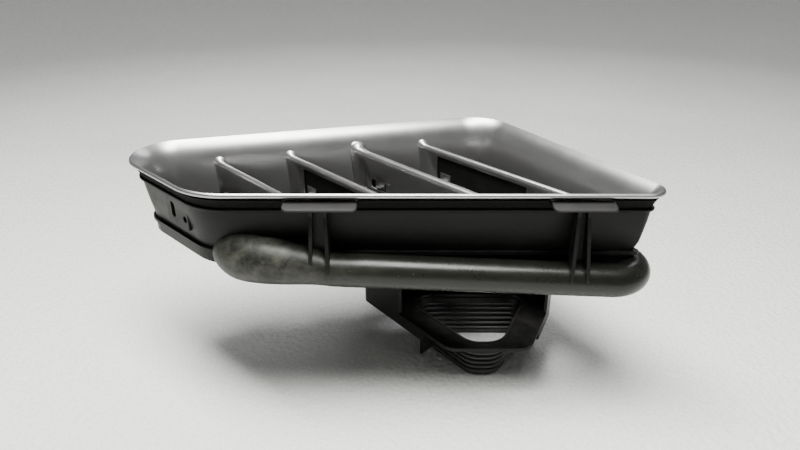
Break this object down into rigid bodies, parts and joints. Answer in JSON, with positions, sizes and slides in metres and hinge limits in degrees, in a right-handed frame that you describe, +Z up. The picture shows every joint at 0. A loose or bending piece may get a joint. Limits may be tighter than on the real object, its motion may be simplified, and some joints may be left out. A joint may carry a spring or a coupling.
{
  "type": "louvred cowl vent",
  "caption": "Kite-shaped cowl vent: silver louvre bezel with slanting vanes in a black housing and tray, a rolled edge tube, T-posts with pads, and a drop duct with a ribbed rubber gaiter.",
  "frame": {"origin": "bottom centre of the whole vent, on the surface that it stands on", "axes": "+X to the right along the straight front edge, +Y to the back, +Z up"},
  "size_m": [0.402, 0.1994, 0.176],
  "materials": {
    "silver_paint": "satin silver paint over a plastic moulding",
    "black_foam": "matte closed-cell foam",
    "black_plastic": "fine-grained moulded plastic",
    "bright_steel": "bright spring steel",
    "coated_steel": "black-coated spring steel",
    "satin_rubber": "satin moulded rubber, scuffed at its left end",
    "grey_pad": "matte grey rubber",
    "gaiter_rubber": "matte ribbed rubber",
    "zinc_steel": "zinc-plated steel"
  },
  "bodies": {
    "vent": {"louvre_bezel": "silver_paint", "lip_gasket": "black_foam", "housing_shell": "black_plastic", "louvre_carrier": "black_plastic", "spring_clips": "bright_steel", "tray": "black_plastic", "carrier_screws": "zinc_steel", "edge_tube": "satin_rubber", "left_post": "black_plastic", "right_post": "black_plastic", "left_pad": "grey_pad", "right_pad": "grey_pad", "tray_screws": "zinc_steel", "tray_nuts": "zinc_steel", "drop_duct": "black_plastic", "outlet_plate": "black_plastic", "duct_screws": "zinc_steel", "rear_stay": "black_plastic", "stay_screw": "zinc_steel", "ribbed_gaiter": "gaiter_rubber", "gaiter_band": "coated_steel"},
    "gaiter_foot": {"gaiter_foot": "gaiter_rubber"}
  },
  "joints": [
    {"name": "gaiter_press", "type": "slide", "parent": "vent", "child": "gaiter_foot", "axis": [0, 0, 1], "range_m": [0, 0.005], "stiffness_N_per_m": 8000, "springref_m": -0.00125, "deforming": ["ribbed_gaiter"]}
  ]
}
